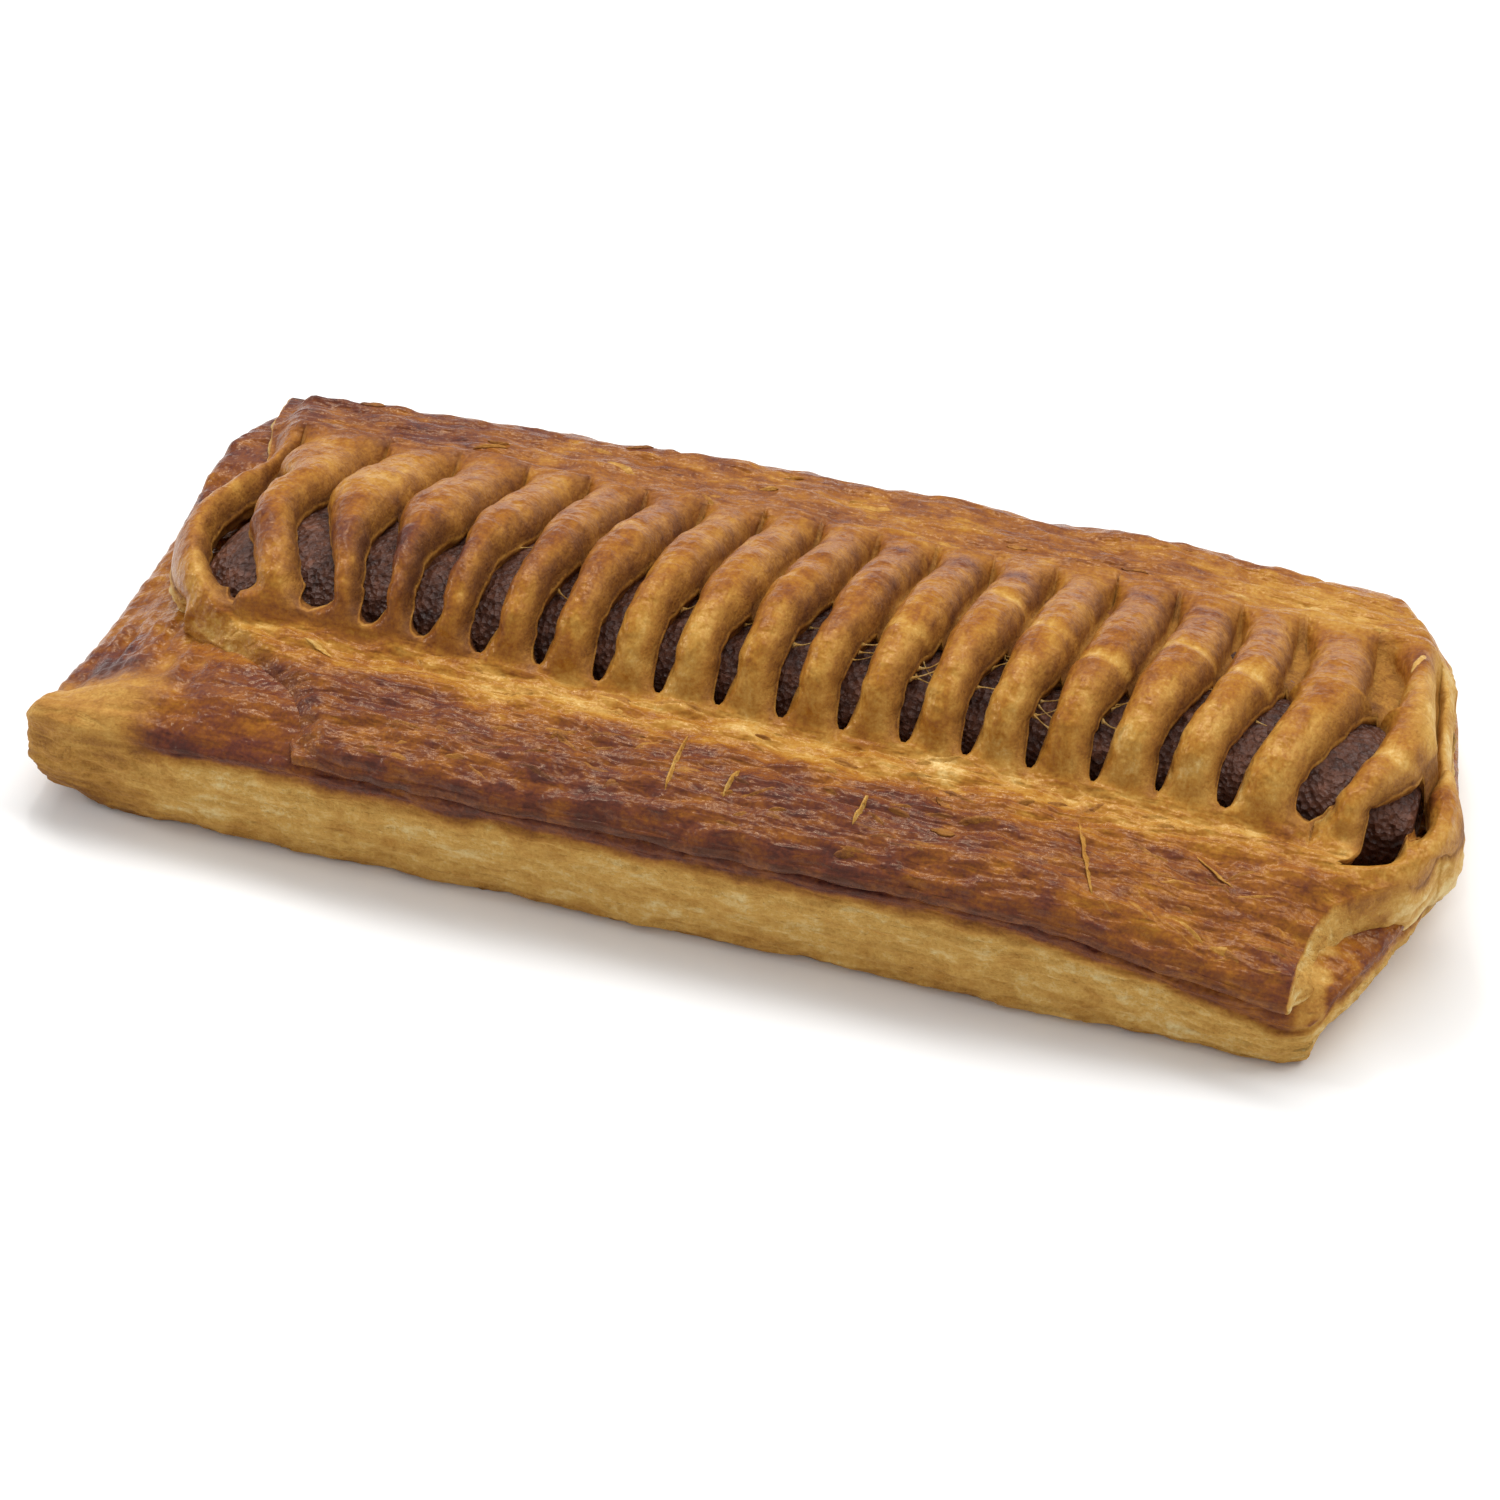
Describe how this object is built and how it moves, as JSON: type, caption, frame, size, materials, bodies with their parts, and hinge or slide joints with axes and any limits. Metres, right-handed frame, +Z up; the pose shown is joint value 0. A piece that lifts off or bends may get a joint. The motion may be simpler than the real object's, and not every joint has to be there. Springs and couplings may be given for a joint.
{
  "type": "lattice sausage roll",
  "caption": "Baked sausage roll: a flat puff pastry base, sausage meat and a slit lattice lid arched over the meat, glazed golden brown.",
  "frame": {"origin": "on the underside, in the middle of the roll's outline", "axes": "+X along the roll, +Y from the steep front of the lattice to its back, +Z up"},
  "size_m": [0.1714, 0.0758, 0.0293],
  "materials": {
    "base_pastry": "baked puff pastry, pale layered sides and a glazed top",
    "lid_pastry": "egg-glazed puff pastry, golden to red-brown, half gloss",
    "meat": "cooked minced sausage meat, dark brown, slightly moist"
  },
  "bodies": {
    "root": {"pastry_base": "base_pastry", "pastry_lid": "lid_pastry", "sausage_meat": "meat"}
  },
  "joints": []
}
